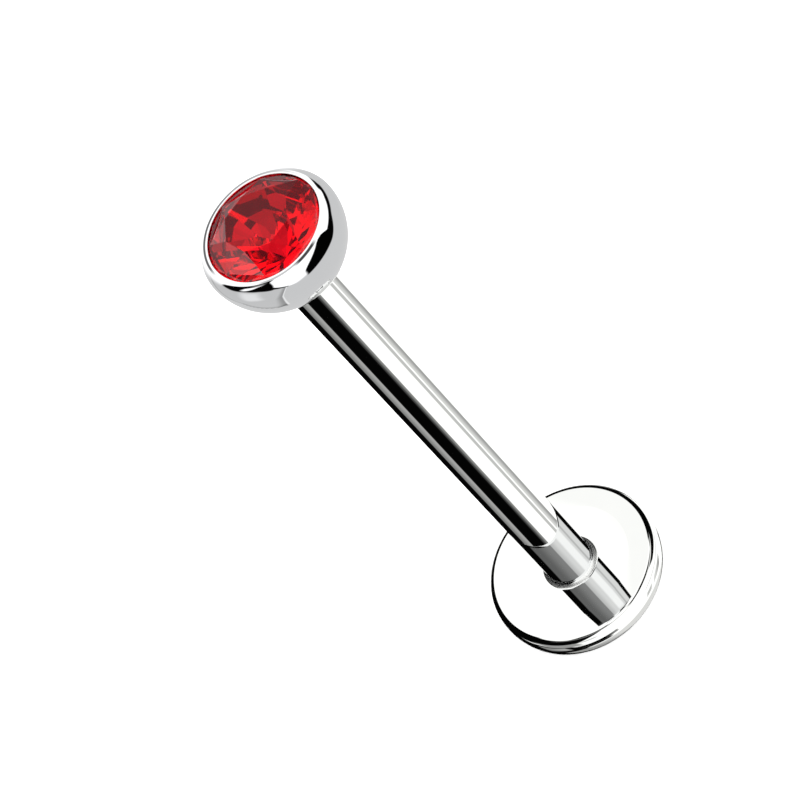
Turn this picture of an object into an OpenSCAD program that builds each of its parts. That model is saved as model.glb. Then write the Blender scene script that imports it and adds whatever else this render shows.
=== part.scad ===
// Labret stud: a straight polished steel post on a flat round disc, and a screw-on cup that holds a
// round cut stone. Upright on its disc, +Z runs along the post to the stone. The origin is the centre
// of the disc's underside. Millimetres.

/* [Post] */
// Diameter of the round post, a 16 gauge bar
post_d = 1.2; // [1:0.05:2]
// Length of post that shows between the disc and the cup
post_length = 13.97; // [5:0.01:18]
// Chamfer round the open end of the post
post_chamfer = 0.03; // [0.01:0.01:0.06]
// Radius of the small fillet where the post grows out of the disc
foot_fillet = 0.12; // [0.03:0.01:0.15]

/* [Disc] */
// Diameter of the flat disc
disc_d = 4.32; // [3.5:0.02:6]
// Thickness of the disc in its middle
disc_t = 0.73; // [0.5:0.01:1.2]
// Diameter of the flat part of the face, outside which it rolls down a little
face_flat_d = 3; // [1.8:0.1:3.2]
// Radius of that roll
face_roll_r = 20; // [5:0.5:30]
// Radius of the bulge of the disc's side
disc_side_r = 1; // [0.6:0.05:3]
// Radius that rounds the rim towards the post
disc_edge_top = 0.16; // [0.05:0.01:0.2]
// Radius that rounds the rim towards the underside
disc_edge_low = 0.12; // [0.05:0.01:0.2]

/* [Screw] */
// Crest diameter of the thread on the pin
thread_d = 0.84; // [0.7:0.02:0.86]
// Depth of the thread
thread_depth = 0.07; // [0.03:0.01:0.1]
// Distance from one turn of the thread to the next
thread_pitch = 0.22; // [0.15:0.01:0.3]
// Number of turns on the pin
thread_turns = 6; // [3:1:8]
// Plain neck between the cup and the first turn
neck_length = 0.22; // [0.1:0.02:0.5]
// Clearance all round between the thread and its bore
thread_clearance = 0.03; // [0.01:0.01:0.05]
// Room that is left under the tip of the pin
bore_room = 0.3; // [0.1:0.05:0.6]
// Gap between the end of the post and the foot of the cup
seat_gap = 0.02; // [0.01:0.01:0.05]

/* [Cup] */
// Widest diameter of the cup
cup_d = 3.14; // [2.9:0.02:4]
// Height of the cup from its foot to its lip
cup_height = 1.55; // [1.5:0.05:2.2]
// Radius of the shoulder between the lip and the widest line
shoulder_r = 0.43; // [0.3:0.01:0.6]
// Radius of the bowl below the widest line
bowl_r = 1.45; // [1.3:0.05:1.6]
// Width of the narrow lip that is pressed over the stone, before its edge is rounded
lip_w = 0.085; // [0.06:0.005:0.14]
// Radius that rounds the lip into the shoulder
lip_edge_r = 0.16; // [0.05:0.01:0.2]
// Height of the upright inner face of the lip
lip_land = 0.03; // [0.02:0.01:0.05]

/* [Stone] */
// Diameter of the stone at its girdle
girdle_d = 2.6; // [2.2:0.02:2.65]
// How far the lip reaches in over the girdle
lip_reach = 0.025; // [0.015:0.005:0.04]
// Diameter over the corners of the table
table_d = 1.5; // [1:0.05:1.8]
// Number of sides of the table
table_sides = 8; // [8:1:10]
// Height of the table above the lip
crown_rise = 0.3; // [0.15:0.02:0.5]
// Depth of the girdle's upper edge below the lip
girdle_drop = 0.13; // [0.11:0.01:0.2]
// Height of the girdle where it is highest, at the corners of the main lower facets
girdle_t = 0.12; // [0.1:0.01:0.12]
// Depth of the point below the girdle
pavilion_depth = 0.96; // [0.7:0.01:1]
// Diameter at which the flat facets under the girdle end between the main ones
pavilion_split_d = 0.62; // [0.5:0.02:1.2]
// Turn of the table's corners about the post
stone_turn = 36.7; // [0:0.1:45]
// Clearance between the stone and the cup
stone_gap = 0.025; // [0.02:0.005:0.04]

/* [Hidden] */
$fn = 96;
steel = [0.80, 0.81, 0.82];
ruby = [0.85, 0.03, 0.08];

post_r = post_d / 2;
disc_r = disc_d / 2;
post_top = disc_t + post_length - seat_gap;
cup_foot = disc_t + post_length;
lip_top = cup_foot + cup_height;

// Disc: centres of the arcs of its outline. The roll leaves the flat at a very slight slope
flat_r = face_flat_d / 2;
roll_slope = 0.3;
roll_at = [flat_r - face_roll_r * sin(roll_slope), disc_t - face_roll_r * cos(roll_slope)];
side_at = [disc_r - disc_side_r, 0.55 * disc_t];
edge_top_at = inner_circle(roll_at, face_roll_r, side_at, disc_side_r, disc_edge_top);
edge_low_at = [
    side_at[0] + sqrt(pow(disc_side_r - disc_edge_low, 2) - pow(side_at[1] - disc_edge_low, 2)),
    disc_edge_low
];

// Screw: the neck, the turns and a round tip, and the bore that takes them
thread_r = thread_d / 2;
root_r = thread_r - thread_depth;
pin_length = neck_length + thread_turns * thread_pitch + root_r;
bore_r = thread_r + thread_clearance;
bore_depth = pin_length + bore_room;
drill_point = bore_r * 0.6;

// Cup: the lip's ring, then a shoulder arc down to the widest line and a bowl arc down to the foot
cup_r = cup_d / 2;
girdle_r = girdle_d / 2;
lip_in = girdle_r - lip_reach;
lip_out = lip_in + lip_w;
shoulder_x = cup_r - shoulder_r;
shoulder_rise = sqrt(pow(shoulder_r, 2) - pow(lip_out - shoulder_x, 2));
widest_z = lip_top - shoulder_rise;
lip_edge_z = lip_top - lip_edge_r;
lip_edge_x = shoulder_x + sqrt(pow(shoulder_r - lip_edge_r, 2) - pow(lip_edge_z - widest_z, 2));
bowl_x = cup_r - bowl_r;

// Stone: heights of its rings of corners
table_z = lip_top + crown_rise;
feet_r = girdle_r - 3.4 * lip_reach;
feet_z = lip_top + 0.02;
edge_r = lip_in - stone_gap;
edge_z = lip_top - lip_land;
girdle_z = lip_top - girdle_drop;
girdle_low_z = girdle_z - girdle_t;
culet_z = girdle_low_z - pavilion_depth;
split_r = pavilion_split_d / 2;
half = 180 / table_sides;
round_sides = table_sides * 4;
split_z = culet_z + pavilion_depth * split_r * cos(half) / girdle_r;
under_slope = (girdle_low_z - split_z) / (girdle_r * cos(half) - split_r);

// Seat in the cup, one clearance outside the stone
seat_r = girdle_r + stone_gap;
seat_slope_z = girdle_z + stone_gap;
seat_low_z = girdle_low_z - stone_gap;
seat_point_z = culet_z - 4 * stone_gap;

function ring(r, z, n, turn) = [for (i = [0 : n - 1]) [r * cos(turn + 360 * i / n), r * sin(turn + 360 * i / n), z]];

// Centre of the circle of radius r that touches circle a, of radius ra, and circle b, of radius rb, from inside
function inner_circle(a, ra, b, rb, r) = let (
    reach = norm(b - a), way = (b - a) / reach,
    along = (pow(reach, 2) + pow(ra - r, 2) - pow(rb - r, 2)) / (2 * reach)
) a + way * along + [way[1], -way[0]] * sqrt(pow(ra - r, 2) - pow(along, 2));

function unit(v) = v / norm(v);

// Height of corner j of the girdle's lower edge: it rises between the main facets, where a flat facet meets it
function low_corner_z(j) = girdle_low_z + under_slope * girdle_r * (cos(half * (1 - (j % 4) / 2)) - cos(half));

// What is taken off outside an arc of radius r round at, between the directions u and v. The arc stands
// out by a hair, so it meets both sides at a slight angle
module edge_cut(at, r, u, v) {
    out = at + 0.004 * r * unit(u + v);
    difference() {
        polygon([out, out + 3 * r * u, out + 4 * r * unit(u + v), out + 3 * r * v]);
        translate(out) circle(r);
    }
}

// A flat plate whose face rolls down towards the rim, with a slightly bulged side and rounded edges
module disc_outline() {
    difference() {
        square([disc_r, disc_t]);
        difference() {
            translate([flat_r - 0.05, disc_t - 0.4]) square([disc_r, 1]);
            translate(roll_at) circle(face_roll_r);
        }
        difference() {
            translate([disc_r - 0.3, -1]) square([1, disc_t + 2]);
            translate(side_at) circle(disc_side_r);
        }
        edge_cut(edge_top_at, disc_edge_top, unit(edge_top_at - roll_at), unit(edge_top_at - side_at));
        edge_cut(edge_low_at, disc_edge_low, unit(edge_low_at - side_at), [0, -1]);
    }
}

// A small hollow fillet in the corner between the post and the disc
module fillet_outline() {
    translate([post_r, disc_t]) difference() {
        translate([-0.01, -0.01]) square(foot_fillet + 0.01);
        translate([foot_fillet, foot_fillet]) circle(foot_fillet);
    }
}

module post_outline() {
    polygon([
        [0, 0.01], [post_r, 0.01], [post_r, post_top - post_chamfer],
        [post_r - post_chamfer, post_top], [0, post_top]
    ]);
}

module bore_outline() {
    polygon([
        [0, post_top + 1], [bore_r + post_chamfer, post_top + 1], [bore_r + post_chamfer, post_top],
        [bore_r, post_top - post_chamfer], [bore_r, post_top - bore_depth],
        [0, post_top - bore_depth - drill_point]
    ]);
}

// Disc and post are one piece of metal, with the blind bore for the pin in the post's end
module post_and_disc() {
    color(steel) rotate_extrude() difference() {
        union() {
            disc_outline();
            post_outline();
            fillet_outline();
        }
        bore_outline();
    }
}

module shoulder_outline() {
    edge_at = [lip_edge_x, lip_edge_z];
    difference() {
        union() {
            translate([0, widest_z]) square([lip_out, shoulder_rise]);
            intersection() {
                translate([shoulder_x, widest_z]) circle(shoulder_r);
                translate([0, widest_z]) square([cup_r, shoulder_rise]);
            }
        }
        edge_cut(edge_at, lip_edge_r, [0, 1], unit(edge_at - [shoulder_x, widest_z]));
    }
}

module bowl_outline() {
    intersection() {
        translate([bowl_x, widest_z]) circle(bowl_r);
        translate([0, cup_foot]) square([cup_r, widest_z - cup_foot]);
    }
}

// The hollow for the stone: under the lip it widens to the girdle, then narrows to a point
module seat_outline() {
    polygon([
        [0, lip_top + 1], [lip_in, lip_top + 1], [lip_in, lip_top - lip_land],
        [seat_r, seat_slope_z], [seat_r, seat_low_z], [0, seat_point_z]
    ]);
}

// One turn of the thread, a ring with a narrow crest
module turn_outline(z) {
    translate([0, z]) polygon([
        [0, -0.45 * thread_pitch], [root_r, -0.45 * thread_pitch], [thread_r, -0.08 * thread_pitch],
        [thread_r, 0.08 * thread_pitch], [root_r, 0.45 * thread_pitch], [0, 0.45 * thread_pitch]
    ]);
}

module pin_outline() {
    tip_z = cup_foot - pin_length + root_r;
    translate([0, tip_z]) square([root_r, cup_foot - tip_z + 0.05]);
    intersection() {
        translate([0, tip_z]) circle(root_r);
        translate([0, tip_z - root_r]) square([root_r, root_r + 0.05]);
    }
    for (i = [0 : thread_turns - 1])
        turn_outline(cup_foot - neck_length - (i + 0.5) * thread_pitch);
}

// The cup and its threaded pin are one turned piece
module bezel_cup() {
    color(steel) rotate_extrude() {
        difference() {
            union() {
                shoulder_outline();
                bowl_outline();
            }
            seat_outline();
        }
        pin_outline();
    }
}

// Corners of the stone in one list: table, feet of the crown, edge at the lip, girdle above and
// below, the split ring under it and the point
stone_points = concat(
    ring(table_d / 2, table_z, table_sides, stone_turn),
    ring(feet_r, feet_z, table_sides, stone_turn - half),
    ring(edge_r, edge_z, round_sides, stone_turn - half),
    ring(girdle_r, girdle_z, round_sides, stone_turn - half),
    [for (j = [0 : round_sides - 1], a = [stone_turn - half + 360 * j / round_sides])
        [girdle_r * cos(a), girdle_r * sin(a), low_corner_z(j)]],
    ring(split_r, split_z, table_sides, stone_turn),
    [[0, 0, culet_z]]
);
feet_at = table_sides;
edge_at = feet_at + table_sides;
girdle_at = edge_at + round_sides;
low_at = girdle_at + round_sides;
split_at = low_at + round_sides;
culet_at = split_at + table_sides;

function on(start, n, i) = start + (i + n) % n;
// Corner i of the table stands between foot i and foot i + 1, which are four edge corners apart
function crown_faces(i) = let (n = table_sides, m = round_sides) concat(
    [[on(0, n, i), on(feet_at, n, i + 1), on(feet_at, n, i)]],
    [[on(0, n, i), on(0, n, i + 1), on(feet_at, n, i + 1)]],
    [for (j = [0 : 1]) [on(feet_at, n, i), on(edge_at, m, 4 * i + j + 1), on(edge_at, m, 4 * i + j)]],
    [[on(feet_at, n, i), on(feet_at, n, i + 1), on(edge_at, m, 4 * i + 2)]],
    [for (j = [2 : 3]) [on(feet_at, n, i + 1), on(edge_at, m, 4 * i + j + 1), on(edge_at, m, 4 * i + j)]]
);
function band_faces(upper, lower, m) = [for (j = [0 : m - 1])
    [on(upper, m, j), on(upper, m, j + 1), on(lower, m, j + 1), on(lower, m, j)]];
function pavilion_faces(i) = let (n = table_sides, m = round_sides) concat(
    [for (j = [0 : 3]) [on(low_at, m, 4 * i + j), on(low_at, m, 4 * i + j + 1), on(split_at, n, i)]],
    [[on(low_at, m, 4 * i), on(split_at, n, i), culet_at]],
    [[on(low_at, m, 4 * i), culet_at, on(split_at, n, i - 1)]]
);

// Round stone: flat table, crown triangles, plain girdle and a pointed pavilion of as many main facets as
// the table has sides, with a flat facet between each two of them under the girdle
module stone() {
    color(ruby) polyhedron(
        points = stone_points,
        faces = concat(
            [[for (i = [table_sides - 1 : -1 : 0]) i]],
            [for (i = [0 : table_sides - 1], f = crown_faces(i)) f],
            band_faces(edge_at, girdle_at, round_sides),
            band_faces(girdle_at, low_at, round_sides),
            [for (i = [0 : table_sides - 1], f = pavilion_faces(i)) f]
        ),
        convexity = 4
    );
}

post_and_disc();
bezel_cup();
stone();
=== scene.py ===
import math

import bpy
import numpy as np
from mathutils import Matrix


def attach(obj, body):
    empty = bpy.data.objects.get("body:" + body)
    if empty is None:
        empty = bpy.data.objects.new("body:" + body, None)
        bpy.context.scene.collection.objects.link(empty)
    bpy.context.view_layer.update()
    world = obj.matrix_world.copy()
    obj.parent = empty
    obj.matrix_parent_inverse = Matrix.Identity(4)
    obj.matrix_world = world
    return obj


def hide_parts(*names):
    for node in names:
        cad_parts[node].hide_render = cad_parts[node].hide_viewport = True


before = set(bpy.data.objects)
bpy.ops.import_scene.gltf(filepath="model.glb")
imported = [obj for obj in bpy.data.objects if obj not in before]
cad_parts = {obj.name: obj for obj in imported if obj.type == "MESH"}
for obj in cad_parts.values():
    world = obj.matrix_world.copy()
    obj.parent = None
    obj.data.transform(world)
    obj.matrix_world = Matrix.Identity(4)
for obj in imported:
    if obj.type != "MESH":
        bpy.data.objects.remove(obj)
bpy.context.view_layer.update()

MM = 0.001

# Sizes in millimetres and angles in degrees. The main ones are the same as in the part's source, and the
# smallest roundings and the winding thread are the scene's own. The stud stands upright on its disc, and +Z
# runs along the post to the stone.

# Post and the bore in its end. END_LENGTH is how much of the post's side is drawn with the end
POST_R = 0.6
POST_TOP = 14.68
POST_CHAMFER, POST_EDGE_R = 0.03, 0.01
END_LENGTH = 0.5
FOOT_FILLET = 0.12
BORE_R, BORE_DEPTH = 0.45, 2.19
BORE_EDGE_R, BORE_FOOT_R = 0.008, 0.01
DRILL_POINT = 0.27

# Disc. Its face is flat out to FLAT_R, where a wide arc starts at the slope ROLL_SLOPE and rolls down to the
# rim. Its side bulges on an arc about the height SIDE_Z
DISC_R = 2.16
DISC_TOP = 0.73
FLAT_R = 1.5
ROLL_R, ROLL_SLOPE = 20.0, 0.3
SIDE_R, SIDE_Z = 1.0, 0.4015
DISC_EDGE_TOP = 0.16
DISC_EDGE_LOW = 0.12

# Cup. The bowl and the shoulder are arcs that meet where the cup is widest, and the lip's edge is a third
CUP_FOOT = 14.7
WIDEST_Z = 15.8805
BOWL_X, BOWL_R = 0.12, 1.45
SHOULDER_X, SHOULDER_R = 1.14, 0.43
LIP_TOP, LIP_IN = 16.25, 1.275
LIP_EDGE_X, LIP_EDGE_R = 1.3104, 0.16
LIP_LAND, LIP_CORNER_R = 0.03, 0.012
SEAT_R, SEAT_GAP = 1.325, 0.025
SEAT_EDGE_R, SEAT_FOOT_R = 0.004, 0.01

# Pin and its thread. Widths of the crest and its flank are shares of the pitch. The mesh has THREAD_ROWS rows
# for each turn, the first of them TIP_STEP above the round tip
ROOT_R, THREAD_R = 0.35, 0.42
THREAD_PITCH, THREAD_TURNS = 0.22, 6
THREAD_ROWS = 14
CREST_HALF, CREST_FLANK = 0.45, 0.37
FADE_AT_TIP, FADE_AT_NECK = 0.12, 0.06
TIP_STEP = 0.01
NECK_LENGTH = 0.22
NECK_Z = CUP_FOOT - NECK_LENGTH
TIP_Z = NECK_Z - THREAD_TURNS * THREAD_PITCH

# Stone: girdle, table, feet of the crown triangles, edge at the lip, and the ring where the flat lower facets
# end between the main ones
GIRDLE_R, GIRDLE_Z, GIRDLE_LOW_Z = 1.3, 16.12, 16.0
TABLE_R, TABLE_Z = 0.75, 16.55
FEET_R, FEET_Z = 1.215, 16.27
EDGE_R, EDGE_Z = 1.25, 16.22
SPLIT_R, CULET_Z = 0.31, 15.04
TABLE_SIDES, STONE_TURN = 8, 36.7
GIRDLE_SIDES = 4 * TABLE_SIDES
HALF_FACET = 180 / TABLE_SIDES

# Smooth shading breaks at edges sharper than CREASE, and points closer than SAME_POINT count as one
CREASE = 28
SAME_POINT = 1e-6

# Camera: where it stands, in millimetres, and the ways in which the picture runs right and down
EYE = (0, -45.34, 62.998)
PICTURE_RIGHT = (0.73695, -0.51382, -0.4392)
PICTURE_DOWN = (-0.67593, -0.56482, -0.47339)
SENSOR, LENS = 36.0, 145.2
CLIP = (0.001, 10.0)

# Room, in metres. The floor lies a hair under the disc
FLOOR_HALF, FLOOR_Z = 2, -1e-5
POST_TENT_R, CUP_TENT_R, STONE_TENT_R = 0.9, 1.0, 1.1
TENT_SIDES = 72
SKY_STRENGTH = 2.0


# Meshes

def arc(x, z, radius, start, end, step=2.5):
    """Points on a circle round (x, z): x + radius cos a, z + radius sin a, with a going from start to end."""
    a = np.radians(np.linspace(start, end, max(2, int(abs(end - start) / step) + 1)))
    return np.stack([x + radius * np.cos(a), z + radius * np.sin(a)], -1)


def rounded(corners):
    """A line of corners (r, z, radius): each corner is cut by an arc that touches both of its straight sides.
    The arc's centre lies between the sides, its radius over the sine of half their angle from the corner."""
    out = []
    for i, (r, z, radius) in enumerate(corners):
        here = np.array([r, z])
        if radius <= 0 or i in (0, len(corners) - 1):
            out.append(here[None])
            continue
        before = np.array(corners[i - 1][:2]) - here
        after = np.array(corners[i + 1][:2]) - here
        u, v = before / np.linalg.norm(before), after / np.linalg.norm(after)
        half = math.acos(np.clip(u @ v, -1, 1)) / 2
        middle = (u + v) / np.linalg.norm(u + v)
        centre = here + middle * radius / math.sin(half)
        start = heading(centre, here + u * radius / math.tan(half))
        end = heading(centre, here + v * radius / math.tan(half))
        end = start + (end - start + 180) % 360 - 180
        out.append(arc(*centre, radius, start, end, step=8))
    return np.concatenate(out)


def held(points, hold=0.004):
    """Adds a point at the distance hold from both ends of each long straight stretch, so that smooth shading
    stays inside the curves, and drops points that lie on the one before."""
    start, end = points[:-1], points[1:]
    length = np.linalg.norm(end - start, axis=1, keepdims=True)
    near = (end - start) * hold / np.maximum(length, SAME_POINT)
    long = length > 6 * hold
    wanted = np.concatenate([long, long, np.ones_like(long)], 1)
    joined = np.concatenate([points[:1], np.stack([start + near, end - near, end], 1)[wanted]])
    moved = np.linalg.norm(np.diff(joined, axis=0), axis=1) > SAME_POINT
    return joined[np.concatenate([[True], moved])]


def turned(profile, sides=256, swell=None):
    """A surface of revolution: (r cos a, r sin a, z) over the profile's rows and the angle a. swell adds a
    radius that depends on the row and the angle. A row at r = 0 is one point, so both ends are closed."""
    r, z = profile[:, 0], profile[:, 1]
    a = np.linspace(0, 2 * np.pi, sides, endpoint=False)
    radius = np.repeat(r[:, None], sides, 1)
    if swell is not None:
        radius = radius + swell(z[:, None], a[None, :])
    grid = np.stack([radius * np.cos(a), radius * np.sin(a), np.repeat(z[:, None], sides, 1)], -1)
    body = grid[1:-1].reshape(-1, 3)
    points = np.concatenate([body, grid[0, :1], grid[-1, :1]]) * MM
    rows = len(z) - 2
    at = np.arange(rows * sides).reshape(rows, sides)
    on = np.roll(at, -1, 1)
    quads = np.stack([at[:-1], on[:-1], on[1:], at[1:]], -1).reshape(-1, 4)
    first, last = rows * sides, rows * sides + 1
    start = np.stack([np.full(sides, first), on[0], at[0]], -1)
    end = np.stack([np.full(sides, last), at[-1], on[-1]], -1)
    return points, quads.tolist() + start.tolist() + end.tolist()


def new_object(name, points, faces, *materials):
    """An object at the origin, with its place in its mesh."""
    mesh = bpy.data.meshes.new(name)
    mesh.from_pydata(np.asarray(points).tolist(), [], faces)
    for material in materials:
        mesh.materials.append(material)
    obj = bpy.data.objects.new(name, mesh)
    bpy.context.collection.objects.link(obj)
    return obj


def piece(name, points, faces, body, node, slot, *materials, smooth=True):
    """One finished piece, riding on a body in place of a CAD node."""
    obj = new_object(name, points, faces, *materials)
    if smooth:
        obj.data.shade_smooth()
        obj.data.set_sharp_from_angle(angle=math.radians(CREASE))
    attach(obj, body)
    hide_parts(node)
    return obj


def inner_circle(big, big_r, other, other_r, radius):
    """The centre of a circle that touches two larger circles from inside, on their outer and upper side."""
    big, other = np.array(big), np.array(other)
    reach, r0, r1 = np.linalg.norm(other - big), big_r - radius, other_r - radius
    along = (reach ** 2 + r0 ** 2 - r1 ** 2) / (2 * reach)
    way = (other - big) / reach
    return big + way * along + np.array([way[1], -way[0]]) * math.sqrt(r0 ** 2 - along ** 2)


def heading(centre, point):
    """The direction from a centre to a point, in degrees."""
    return math.degrees(math.atan2(point[1] - centre[1], point[0] - centre[0]))


def post_end():
    """The top of the post's side, its chamfered end, the bore and the drill's point."""
    return rounded([
        (POST_R, POST_TOP - END_LENGTH, 0),
        (POST_R, POST_TOP - POST_CHAMFER, POST_EDGE_R),
        (POST_R - POST_CHAMFER, POST_TOP, POST_EDGE_R),
        (BORE_R + POST_CHAMFER, POST_TOP, BORE_EDGE_R),
        (BORE_R, POST_TOP - POST_CHAMFER, BORE_EDGE_R),
        (BORE_R, POST_TOP - BORE_DEPTH, BORE_FOOT_R),
        (0, POST_TOP - BORE_DEPTH - DRILL_POINT, 0)])


def post_and_disc_profile():
    """From the middle of the underside out, up the bulged side of the rim, in over the face, which is flat in
    the middle and rolls down a little towards the rim, up the post and down the bore. All the arcs touch
    their neighbours."""
    slope = math.radians(ROLL_SLOPE)
    roll = np.array([FLAT_R - ROLL_R * math.sin(slope), DISC_TOP - ROLL_R * math.cos(slope)])
    side = np.array([DISC_R - SIDE_R, SIDE_Z])
    top = inner_circle(roll, ROLL_R, side, SIDE_R, DISC_EDGE_TOP)
    low = np.array([0, DISC_EDGE_LOW])
    low[0] = side[0] + math.sqrt((SIDE_R - DISC_EDGE_LOW) ** 2 - (SIDE_Z - DISC_EDGE_LOW) ** 2)
    return held(np.concatenate([
        [[0, 0]],
        arc(*low, DISC_EDGE_LOW, -90, heading(side, low), step=4),
        arc(*side, SIDE_R, heading(side, low), heading(side, top), step=1.5)[1:],
        arc(*top, DISC_EDGE_TOP, heading(side, top), heading(roll, top), step=3)[1:],
        arc(*roll, ROLL_R, heading(roll, top), 90 - ROLL_SLOPE, step=0.1)[1:],
        arc(POST_R + FOOT_FILLET, DISC_TOP + FOOT_FILLET, FOOT_FILLET, -90, -180, step=4),
        post_end()]))


def cup_profile():
    """From the pin's tip up its side, out under the foot, round the bowl and the shoulder, in over the lip
    and down the seat to its point."""
    thread_z = np.arange(TIP_Z + TIP_STEP, NECK_Z, THREAD_PITCH / THREAD_ROWS)
    thread = np.stack([np.full(len(thread_z), ROOT_R), thread_z], -1)
    foot_turn = math.degrees(math.asin((WIDEST_Z - CUP_FOOT) / BOWL_R))
    edge = (LIP_EDGE_X, LIP_TOP - LIP_EDGE_R)
    meeting = heading((SHOULDER_X, WIDEST_Z), edge)
    lip_and_seat = rounded([
        (LIP_EDGE_X, LIP_TOP, 0),
        (LIP_IN, LIP_TOP, LIP_CORNER_R),
        (LIP_IN, LIP_TOP - LIP_LAND, SEAT_EDGE_R),
        (SEAT_R, GIRDLE_Z + SEAT_GAP, SEAT_EDGE_R),
        (SEAT_R, GIRDLE_LOW_Z - SEAT_GAP, SEAT_FOOT_R),
        (0, CULET_Z - 4 * SEAT_GAP, 0)])
    return held(np.concatenate([
        arc(0, TIP_Z, ROOT_R, -90, 0, step=5),
        thread,
        [[ROOT_R, NECK_Z], [ROOT_R, CUP_FOOT]],
        arc(BOWL_X, WIDEST_Z, BOWL_R, -foot_turn, 0, step=1.5),
        arc(SHOULDER_X, WIDEST_Z, SHOULDER_R, 0, meeting, step=2)[1:],
        arc(*edge, LIP_EDGE_R, meeting, 90, step=2)[1:],
        lip_and_seat[1:]]))


def pin_thread(z, a):
    """The thread's height over the root: one crest for each turn, climbing one pitch a turn, fading in at
    both ends and nought beyond them."""
    place = (z / THREAD_PITCH - a / (2 * np.pi)) % 1
    crest = np.clip((CREST_HALF - np.abs(place - 0.5)) / CREST_FLANK, 0, 1)
    fade = np.clip((z - TIP_Z) / FADE_AT_TIP, 0, 1) * np.clip((NECK_Z - z) / FADE_AT_NECK, 0, 1)
    return (THREAD_R - ROOT_R) * crest * fade


def ring(r, z, count, turn):
    """Corners (r cos a, r sin a, z), evenly spaced round from the angle turn."""
    a = np.radians(turn + 360 * np.arange(count) / count)
    return np.stack([r * np.cos(a), r * np.sin(a), np.full(count, z)], -1)


def stone_corners():
    """The stone's corners in rings: table, feet of the crown, edge at the lip, girdle above and below, the
    split ring under it, and the point. The girdle's lower edge rises between the main facets by how far its
    circle lies outside the chord of a flat facet, times that facet's slope."""
    start = STONE_TURN - HALF_FACET
    half_cos = math.cos(math.radians(HALF_FACET))
    split_z = CULET_Z + (GIRDLE_LOW_Z - CULET_Z) * SPLIT_R * half_cos / GIRDLE_R
    scallop = np.cos(np.radians(HALF_FACET * (1 - np.arange(GIRDLE_SIDES) % 4 / 2))) - half_cos
    under = ring(GIRDLE_R, GIRDLE_LOW_Z, GIRDLE_SIDES, start)
    under[:, 2] += GIRDLE_R * scallop * (GIRDLE_LOW_Z - split_z) / (GIRDLE_R * half_cos - SPLIT_R)
    return np.concatenate([
        ring(TABLE_R, TABLE_Z, TABLE_SIDES, STONE_TURN),
        ring(FEET_R, FEET_Z, TABLE_SIDES, start),
        ring(EDGE_R, EDGE_Z, GIRDLE_SIDES, start),
        ring(GIRDLE_R, GIRDLE_Z, GIRDLE_SIDES, start),
        under,
        ring(SPLIT_R, split_z, TABLE_SIDES, STONE_TURN),
        [[0, 0, CULET_Z]]]) * MM


def stone_facets():
    """The flat facets as lists of corner numbers, and how many come before the silvered ones below."""
    n, m = TABLE_SIDES, GIRDLE_SIDES
    table, feet, edge = np.arange(n), n + np.arange(n), 2 * n + np.arange(m)
    upper, lower = edge + m, edge + 2 * m
    split, point = 2 * n + 3 * m + np.arange(n), 2 * n + 3 * m + n
    next_feet = np.roll(feet, -1)

    def rows(*columns):
        """One triangle for each side of the table, from columns of corner numbers."""
        return np.stack([np.broadcast_to(c, (n,)) for c in columns], -1).tolist()

    def on(ring_at, k):
        """The corners of a ring of the girdle that lie k steps past each corner of a main facet."""
        return ring_at[(4 * np.arange(n) + k) % m]

    crown = rows(table, feet, next_feet) + rows(table, next_feet, np.roll(table, -1))
    for k in (0, 1):
        crown += rows(feet, on(edge, k), on(edge, k + 1))
    crown += rows(feet, on(edge, 2), next_feet)
    for k in (2, 3):
        crown += rows(next_feet, on(edge, k), on(edge, k + 1))
    bands = []
    for a, b in ((edge, upper), (upper, lower)):
        bands += np.stack([b, np.roll(b, -1), np.roll(a, -1), a], -1).tolist()
    below = []
    for k in (0, 1, 2, 3):
        below += rows(on(lower, k + 1), on(lower, k), split)
    below += rows(on(lower, 0), point, split) + rows(on(lower, 0), np.roll(split, 1), point)
    above = [table.tolist()] + crown + bands
    return above + below, len(above)


# Shader sums

class Term:
    """One socket of a node tree, so that a sum of nodes reads as a Python expression."""

    def __init__(self, tree, socket=None):
        self.tree, self.socket = tree, socket

    def add(self, kind, settings=None, values=None, out=0):
        """Any node: its type, its settings, then the values or links of its sockets."""
        node = self.tree.nodes.new("ShaderNode" + kind)
        for name, value in (settings or {}).items():
            setattr(node, name, value)
        for name, value in (values or {}).items():
            if isinstance(value, Term):
                self.tree.links.new(value.socket, node.inputs[name])
            else:
                node.inputs[name].default_value = value
        return Term(self.tree, node.outputs[out] if node.outputs else None)

    def maths(self, operation, *others):
        """A Math node on this number and others."""
        return self.add("Math", {"operation": operation}, dict(enumerate((self, *others))))

    def vector(self, operation, *others, out=0):
        """A Vector Math node on this vector and others."""
        return self.add("VectorMath", {"operation": operation}, dict(enumerate((self, *others))), out)

    def scaled(self, size):
        """This vector times a number."""
        return self.add("VectorMath", {"operation": "SCALE"}, {0: self, "Scale": size})

    def parts(self):
        """The three numbers of this vector."""
        outputs = self.add("SeparateXYZ", values={0: self}).socket.node.outputs
        return [Term(self.tree, socket) for socket in outputs]

    def __add__(self, other):
        return self.maths("ADD", other)

    __radd__ = __add__

    def __sub__(self, other):
        return self.maths("SUBTRACT", other)

    def __rsub__(self, other):
        return self.maths("MULTIPLY_ADD", -1.0, other)

    def __mul__(self, other):
        return self.maths("MULTIPLY", other)

    __rmul__ = __mul__

    def __truediv__(self, other):
        return self.maths("DIVIDE", other)

    def rise(self, low, high):
        """0 below low and 1 above high, with a soft turn between."""
        return self.add("MapRange", {"interpolation_type": "SMOOTHSTEP"}, {0: self, 1: low, 2: high})

    def within(self, low, high, soft):
        """1 between low and high and 0 outside, with edges as wide as soft."""
        return self.rise(low - soft / 2, low + soft / 2) * (1 - self.rise(high - soft / 2, high + soft / 2))


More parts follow.
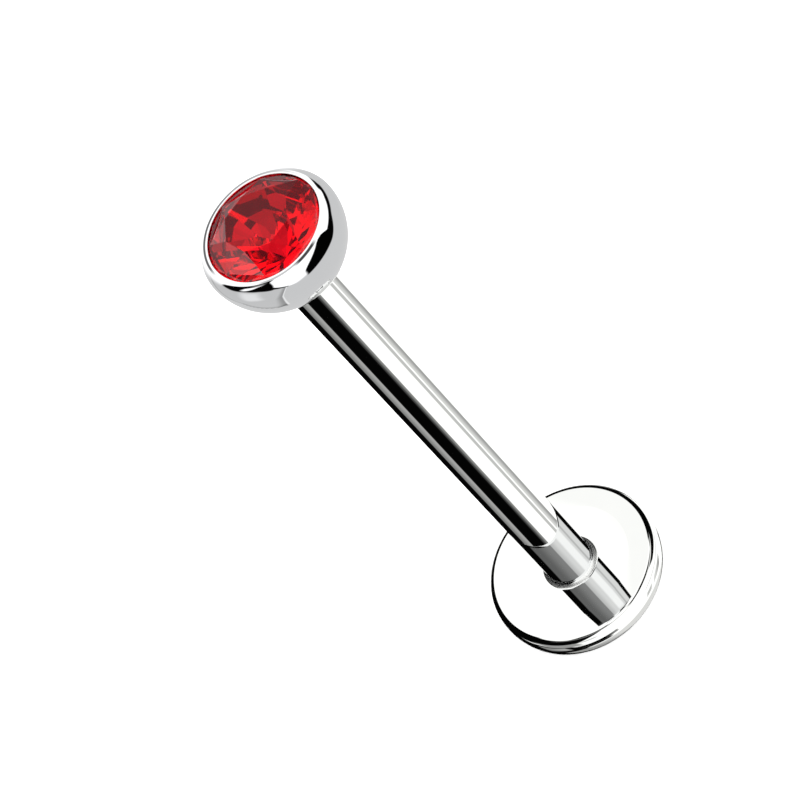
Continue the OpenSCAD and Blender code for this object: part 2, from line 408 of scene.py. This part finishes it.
def new_shader(owner):
    """A fresh node tree for a material or a world."""
    owner.use_nodes = True
    owner.node_tree.nodes.clear()
    return Term(owner.node_tree)


def new_material(name):
    """A material and its fresh node tree."""
    material = bpy.data.materials.new(name)
    return material, new_shader(material)


# Light. A direction is given by its turn about the post, 0 at the camera's side and growing towards +X, and
# its height above the horizon, both in degrees

# Share of the light that polished steel mirrors
STEEL_SHARE = 0.81


def tone(grey):
    """The light that a steel mirror shows as this picture grey, 0 to 255."""
    c = grey / 255
    return (c / 12.92 if c <= 0.04045 else ((c + 0.055) / 1.055) ** 2.4) / STEEL_SHARE


# White panels are a tenth brighter than the picture's white, and dark cards nearly black
WHITE = tone(255) * 1.1
POST_DARK, CUP_DARK = tone(4), tone(3)

# Direction from the cup to the photo's viewpoint, and the planes of the window's side and sill round the cup
CUP_FRONT = (0, -0.6943, 0.7197)
WINDOW_SIDE = (0.827, -0.4717, -0.3074)
WINDOW_SILL = (-0.712, -0.6414, 0.2859)

# Even cards: light, then start, end and softness of the turn, and the same of the height
LOW_CARDS = (
    (tone(205), -50, -32, 8, -30, -6, 8),
    (tone(165), 40, 105, 10, -34, -27, 3))
UNDER_RIM_CARDS = (
    (POST_DARK, -117, -66, 6, -64, -41, 3),
    (POST_DARK, -122, -24, 8, -61.5, -55.5, 1.5))
IMAGE_CARDS = (
    (POST_DARK, -84, -22, 6, 58, 69, 3),
    (POST_DARK, 24, 118, 6, 57, 77, 3))

# Round cards of the stone: light, turn, height and radius. STONE_OPEN is the light between them
STONE_OPEN = 1.6
STONE_WIDE = (
    (0.4, -40, 20, 28), (0.35, 72, -7, 28), (0.38, -12, 42, 26), (0.15, 170, -25, 26), (0.4, 150, 39, 26),
    (0.8, 20, 60, 20), (0.45, 103, -8, 26), (0.5, 19, -53, 28), (0.2, -7, -3, 16), (0.6, -166, 10, 26),
    (0.4, -90, -18, 16), (0.5, -70, 5, 10), (1.8, 80, 50, 15), (2.2, 103, 28, 6), (0.65, 51, 13, 8),
    (0.6, 24, 79, 6), (0.75, 29, 31, 5), (0.7, -64, 42, 5), (0.6, 87, 39, 2))
WIDE_SOFT = 7

# Small round cards in the ways that the crown's facets mirror: light, turn and height
STONE_SHEEN = (
    (0.43, 180, 46), (0.3, 161, -12), (0.1, 178, -28), (1.2, -158, 5), (0.7, -142, 5), (1.9, -97, 36),
    (1.4, -129, 32), (0.05, -20, 59), (0.1, -84, 63), (0.1, 51, 73), (0.4, 74, 47), (0.4, 115, 43),
    (0.25, 128, 16), (0.3, 148, 14), (0.2, -124, 54), (0.1, -100, 84), (0.6, 114, 64))
SHEEN_RADIUS, SHEEN_SOFT = 4, 1.5


def card(light, value, where):
    """Paints a card of one brightness over the light."""
    return light + (value - light) * where


def even_cards(light, turn, height, rows):
    """Paints the even cards of a table, one after the other."""
    for value, left, right, side_soft, low, high, edge_soft in rows:
        where = turn.within(left, right, side_soft) * height.within(low, high, edge_soft)
        light = card(light, value, where)
    return light


def turn_of(x, y):
    """The turn about the post of a direction's X and Y."""
    return x.maths("ARCTAN2", y * -1.0) * math.degrees(1)


def spot(way, turn, height, radius, soft):
    """1 near one direction and 0 further off than radius, in degrees."""
    a, b = math.radians(turn), math.radians(height)
    middle = (math.cos(b) * math.sin(a), -math.cos(b) * math.cos(a), math.sin(b))
    near = way.vector("DOT_PRODUCT", middle, out="Value")
    return near.rise(math.cos(math.radians(radius + soft)), math.cos(math.radians(max(radius - soft, 0))))


def off_plane(way, normal):
    """How far a direction lies off the plane with this normal, in degrees."""
    return way.vector("DOT_PRODUCT", normal, out="Value").maths("ARCSINE") * math.degrees(1)


def mirrored_from(way, front):
    """The tilt from upright and the turn of the polished metal that mirrors a direction out to the front, in
    degrees: its normal lies halfway between the two."""
    x, y, z = way.vector("ADD", front).vector("NORMALIZE").parts()
    return z.maths("ARCCOSINE") * math.degrees(1), turn_of(x, y)


def studio(name, radius, tint, paint, *receivers):
    """A round tent of soft panels and dark cards that only the reflections of the given pieces see. paint
    gives the brightness from the turn, the height and the direction itself."""
    material, tent = new_material(name)
    way = tent.add("TexCoord", out="Object").vector("NORMALIZE")
    x, y, z = way.parts()
    height = z.maths("ARCSINE") * math.degrees(1)
    bright = paint(turn_of(x, y), height, way)
    colour = tent.add("VectorMath", {"operation": "SCALE"}, {0: tint, "Scale": bright})
    glow = tent.add("Emission", values={"Color": colour, "Strength": 1.0})
    both = tent.add("AddShader", values={0: glow, 1: tent.add("BsdfTransparent")})
    tent.add("OutputMaterial", values={"Surface": both})
    material.cycles.emission_sampling = "NONE"

    obj = new_object(name, *turned(arc(0, 0, radius / MM, -90, 90, step=5), TENT_SIDES), material)
    obj.visible_camera = obj.visible_diffuse = obj.visible_shadow = obj.visible_volume_scatter = False
    lit = bpy.data.collections.new(name + "_on")
    for receiver in receivers:
        lit.objects.link(receiver)
    obj.light_linking.receiver_collection = lit


def post_stripes(turn):
    """Upright strips, which the straight post shows from end to end: dark with two greys at the left, and
    white with two greys at the right."""
    light = card(POST_DARK, card(tone(123), tone(165), turn.rise(-110, -79)), turn.within(-110, -78, 3))
    light = card(light, card(tone(56), tone(137), turn.rise(-27, -14)), turn.within(-29, -12, 2))
    light = card(light, WHITE, turn.rise(-13.5, -10.5))
    light = card(light, tone(191), turn.within(43, 56, 3))
    return card(light, card(tone(215), tone(150), turn.rise(64, 92)), turn.within(63, 93, 3))


def image_stripes(turn):
    """The strips that the post's own image in the disc's face shows."""
    light = card(POST_DARK, card(tone(102), tone(138), turn.rise(-75, -20)), turn.within(-96, -10, 8))
    light = card(light, card(tone(204), tone(232), turn.rise(-12, 14)), turn.within(-14, 116, 5))
    light = card(light, WHITE, turn.within(26, 62, 12))
    return card(light, tone(198), turn.within(74, 84, 6))


def rim_cards(light, turn, height):
    """Dark cards with slanted feet at the left and the right, which outline the rim, and greys at the left
    and behind."""
    left_foot = height - ((turn + 50) * 0.4).maths("MAXIMUM", -12.0)
    light = card(light, POST_DARK, (1 - (turn - height * 0.4).rise(-48, -44)) * left_foot.rise(-19, -15))
    right_foot = height + (turn - 76).maths("MINIMUM", 17.0)
    light = card(light, POST_DARK, turn.rise(67, 72) * right_foot.rise(9, 14))
    low = height.within(-43, -11, 5)
    light = card(light, tone(150), low * turn.within(-96, -54, 8))
    return card(light, tone(165), low * (turn.within(-176, -152, 6) + turn.within(146, 171, 6)))


def post_light(turn, height, way):
    """Upright strips low down, which the post shows, a white panel behind that fills the disc's face, and
    dark cards round it that outline the face, the rim and the post's own image in the face."""
    light = even_cards(WHITE, turn, height, LOW_CARDS)
    light = card(light, card(tone(150), tone(215), turn.rise(-80, -10)), 1 - height.rise(-66, -61))
    light = even_cards(light, turn, height, UNDER_RIM_CARDS)
    light = card(light, POST_DARK, turn.rise(136, 142))
    light = card(light, post_stripes(turn), height.within(-55.5, -45.5, 1.5))
    light = card(light, POST_DARK, 1 - turn.rise(-117, -109))
    light = rim_cards(light, turn, height)
    light = card(light, WHITE, height.rise(57, 60))
    light = even_cards(light, turn, height, IMAGE_CARDS)
    light = card(light, image_stripes(turn), height.within(47.5, 59, 2))
    face = card(WHITE, tone(250), turn.within(160, 178.3, 2.4))
    return card(light, face, spot(way, 180, 54, 12.8, 0.5))


def window(turn, height, way):
    """Light grey with the corner of a darker window in it, which the cup's underside shows."""
    right, below = off_plane(way, WINDOW_SIDE) * -1.0, off_plane(way, WINDOW_SILL)
    pane = card(card(tone(100), tone(150), below.rise(0, 9)), card(tone(154), tone(192), below.rise(0, 7)),
                right.rise(1, 8))
    light = card(tone(198), tone(228), right.within(-1.6, 0, 1) * below.rise(0, 4))
    light = card(light, pane, right.rise(-0.4, 0.6) * below.rise(-0.4, 0.6))
    return card(light, tone(224), turn.within(-92, -68, 14) * height.within(-28, 14, 16))


def lip_outline(light, way):
    """Greys in the ways that the tilted edge of the lip mirrors, so that a thin line runs round its ring, at
    the picture's left, top and bottom."""
    tilt, side = mirrored_from(way, CUP_FRONT)
    outline = tilt.within(7, 25, 5)
    left = card(tone(160), tone(105), side.rise(-180, -140))
    top = card(tone(205), tone(160), side.rise(125, 180))
    light = card(light, left, outline * (1 - side.rise(-97, -83)))
    light = card(light, top, outline * side.rise(112, 135))
    light = card(light, tone(195), tilt.within(8, 20, 5) * side.within(-36, 2, 8))
    return card(light, tone(70), tilt.within(8, 30, 6) * side.within(0, 24, 8))


def right_crescent(light, turn, height):
    """The dark card at the cup's right, between a curved top and a stepped foot."""
    top = ((turn - 1) / 59).maths("MAXIMUM", 0.0).maths("SQRT") * 55
    top = top + (23 + turn.rise(118, 142) * 15 - top) * turn.rise(62, 67)
    foot = turn.rise(56, 92) * 28 + turn.rise(126, 145) * 13 - 19.5
    where = turn.within(2, 146, 5) * (top - height).rise(-2, 2) * (height - foot).rise(-2.5, 2.5)
    return card(light, CUP_DARK, where)


def left_crescent(light, turn, height, way, front):
    """The dark card at the cup's lower left, with a tail to the right along the front panel's edge, a grey
    glow and a white lens in it."""
    edge = ((height - 25) / 45).maths("MAXIMUM", 0.0)
    foot = turn.within(-95, -58, 25) * 7.5 + 12.5
    left = turn.rise(-120, -116) * (1 - (turn + edge * edge * 34).rise(-48, -44)) * height.within(0, 72, 4)
    light = card(light, CUP_DARK, left * (height - foot).rise(-2.5, 2.5))
    tail = (front + 29).maths("ABSOLUTE") * 0.7 + (turn + 46) * 0.12
    light = card(light, CUP_DARK, turn.within(-48, -26, 2) * (1 - tail.rise(2.5, 4.5)))
    light = card(light, tone(140), spot(way, -89, 57, 5, 4))
    u, v = (turn + 83) / 11, (height - 38 - (turn + 83) * 1.1) / 9
    return card(light, WHITE, 1 - (u * u + v * v).rise(0.4, 1.5))


def cup_light(turn, height, way):
    """Light grey below with the edge of a window in it, white panels in front, at the right and behind, greys
    for the lip's outline, and dark cards at the right and the left."""
    light = window(turn, height, way)
    light = card(light, WHITE, (1 - turn.rise(-121, -117)) * (height - turn * 1.03).rise(124, 148))
    light = card(light, WHITE, turn.rise(150, 176) * height.rise(-46, -36))
    light = card(light, WHITE, turn.rise(58, 64) * height.rise(19, 25))
    front = height + turn * 1.05
    light = card(light, WHITE, front.rise(-31, -27) * (1 - turn.rise(59, 65)) * height.rise(-18, -5))
    light = card(light, tone(130), height.within(28, 42, 3) * (1 - turn.rise(-160, -150)))
    light = card(light, tone(180), height.within(31, 42, 3) * turn.rise(164, 172))
    light = lip_outline(light, way)
    light = right_crescent(light, turn, height)
    return left_crescent(light, turn, height, way, front)


def stone_light(turn, height, way):
    """Bright, with wide cards, most of them dim, whose light leaves some of the stone's patches deep red, and
    small ones in the ways that the crown's facets mirror."""
    light = STONE_OPEN
    for value, side, up, radius in STONE_WIDE:
        light = card(light, value, spot(way, side, up, radius, WIDE_SOFT))
    for value, side, up in STONE_SHEEN:
        light = card(light, value, spot(way, side, up, SHEEN_RADIUS, SHEEN_SOFT))
    return light


# Materials

# Colours of the darker and the lighter clouds in each finish, and of the floor
STEEL_COLOURS = (0.795, 0.805, 0.82), (0.83, 0.835, 0.84)
CRYSTAL_COLOURS = (0.86, 0.010, 0.034), (0.93, 0.014, 0.045)
SILVERING_COLOURS = (0.87, 0.23, 0.26), (0.92, 0.27, 0.30)
FLOOR_COLOUR = (0.9, 0.9, 0.9, 1)

# Roughness of polished steel, and what haze, turning rings and the satin inner corner add to it
POLISH, HAZE, RINGS, SATIN = 0.008, 0.014, 0.008, 0.45

# Where the satin corner starts and ends, and its softness: out from the post's side, and up from the disc's
# face or the cup's foot
CORNER_OUT = (0.012, 0.115, 0.03)
CORNER_UP = (0.005, 0.11, 0.02)


def millimetres(shader):
    """The place on the piece in millimetres."""
    return shader.add("TexCoord", out="Object").scaled(1 / MM)


def noise(place, scale, detail, distortion=0.0, dimensions="3D"):
    """Cloudy noise between 0 and 1 at a place in millimetres."""
    values = {"Vector": place, "Scale": scale, "Detail": detail, "Distortion": distortion}
    return place.add("TexNoise", {"noise_dimensions": dimensions}, values)


def between(share, first, second):
    """The colour that lies a share of the way from the first to the second. A Mix node's colours are its
    sockets 6 and 7, and come out of socket 2."""
    return share.add("Mix", {"data_type": "RGBA"}, {0: share, 6: (*first, 1), 7: (*second, 1)}, 2)


def polished_steel(name, corner_z):
    """Mirror-polished steel: faint rings from turning, a thin haze of uneven polish, and a softer polish in
    the inner corner round the post, at the height corner_z, where a wheel doesn't reach."""
    material, steel = new_material(name)
    place = millimetres(steel)
    x, y, z = place.parts()
    radius = (x * x + y * y).maths("SQRT")
    section = steel.add("CombineXYZ", values={0: radius, 1: z})
    colour = between(noise(place, scale=1.4, detail=3.0), *STEEL_COLOURS)
    haze = noise(place, scale=9.0, detail=4.0).rise(0.35, 0.75)
    rings = noise(section, scale=30.0, detail=1.0, dimensions="2D").rise(0.45, 0.7)
    corner = (radius - POST_R).within(*CORNER_OUT) * (z - corner_z).within(*CORNER_UP)
    rough = POLISH + HAZE * haze + RINGS * rings + SATIN * corner
    shader = steel.add("BsdfPrincipled", values={"Base Color": colour, "Metallic": 1.0, "Roughness": rough})
    steel.add("OutputMaterial", values={"Surface": shader})
    return material


def red_crystal(name):
    """Clear red glass, its colour a little uneven in the melt, with faint wiping marks."""
    material, glass = new_material(name)
    place = millimetres(glass)
    melt = noise(place, scale=1.1, detail=2.0, distortion=1.5).rise(0.35, 0.65)
    wiped = noise(place, scale=3.0, detail=3.0).rise(0.5, 0.7)
    shader = glass.add("BsdfPrincipled", values={
        "Base Color": between(melt, *CRYSTAL_COLOURS),
        "Roughness": 0.012 * wiped, "IOR": 1.527, "Transmission Weight": 0.94})
    glass.add("OutputMaterial", values={"Surface": shader})
    return material


def silvered_back(name):
    """The mirror coat on the lower facets, a little clouded and grainy."""
    material, foil = new_material(name)
    place = millimetres(foil)
    cloud = noise(place, scale=2.0, detail=3.0).rise(0.3, 0.7)
    grain = noise(place, scale=25.0, detail=2.0).rise(0.4, 0.7)
    shader = foil.add("BsdfPrincipled", values={
        "Base Color": between(cloud, *SILVERING_COLOURS),
        "Metallic": 1.0, "Roughness": 0.02 + 0.03 * grain})
    foil.add("OutputMaterial", values={"Surface": shader})
    return material


def pale_floor(name):
    """Matt white, without gloss."""
    material, paint = new_material(name)
    shader = paint.add("BsdfPrincipled", values={
        "Base Color": FLOOR_COLOUR, "Roughness": 0.9, "Specular IOR Level": 0.0})
    paint.add("OutputMaterial", values={"Surface": shader})
    return material


# The stud

post_steel = polished_steel("post_steel", DISC_TOP)
cup_steel = polished_steel("cup_steel", CUP_FOOT)
crystal = red_crystal("red_crystal")
silvering = silvered_back("silvered_back")

post = piece("turned_post_on_disc", *turned(post_and_disc_profile()),
             "post", "post_and_disc", "post_steel", post_steel)
cup = piece("turned_cup_and_pin", *turned(cup_profile(), swell=pin_thread),
            "top", "bezel_cup", "cup_steel", cup_steel)
facets, back_from = stone_facets()
gem = piece("cut_stone", stone_corners(), facets,
            "top", "stone", "red_stone", crystal, silvering, smooth=False)
gem.data.polygons.foreach_set("material_index", (np.arange(len(facets)) >= back_from).astype(np.int32))

# The room

floor_corners = [(x * FLOOR_HALF, y * FLOOR_HALF, FLOOR_Z) for x, y in ((-1, -1), (1, -1), (1, 1), (-1, 1))]
floor = new_object("floor", floor_corners, [(0, 1, 2, 3)], pale_floor("pale_floor"))
floor.visible_glossy = floor.visible_transmission = False

studio("post_studio", POST_TENT_R, (1.0, 1.0, 0.965), post_light, post)
studio("cup_studio", CUP_TENT_R, (1.0, 1.0, 1.0), cup_light, cup)
studio("stone_studio", STONE_TENT_R, (1.0, 0.97, 0.98), stone_light, gem)

world = bpy.data.worlds.new("soft_light")
bpy.context.scene.world = world
sky = new_shader(world)
sky.add("OutputWorld", values={"Surface": sky.add("Background", values={
    "Color": (1, 1, 1, 1), "Strength": SKY_STRENGTH})})
world.cycles_visibility.glossy = world.cycles_visibility.transmission = False

# The camera. Its axes are made square to each other before it is placed

right, down = np.array(PICTURE_RIGHT), np.array(PICTURE_DOWN)
right /= np.linalg.norm(right)
down -= right * (down @ right)
down /= np.linalg.norm(down)
placed = np.eye(4)
placed[:3, 0], placed[:3, 1], placed[:3, 2] = right, -down, -np.cross(right, down)
placed[:3, 3] = np.array(EYE) * MM

camera_data = bpy.data.cameras.new("camera")
camera_data.sensor_width, camera_data.lens = SENSOR, LENS
camera_data.clip_start, camera_data.clip_end = CLIP
camera = bpy.data.objects.new("camera", camera_data)
bpy.context.collection.objects.link(camera)
camera.matrix_world = Matrix(placed.tolist())
bpy.context.scene.camera = camera
bpy.context.scene.view_settings.view_transform = "Standard"
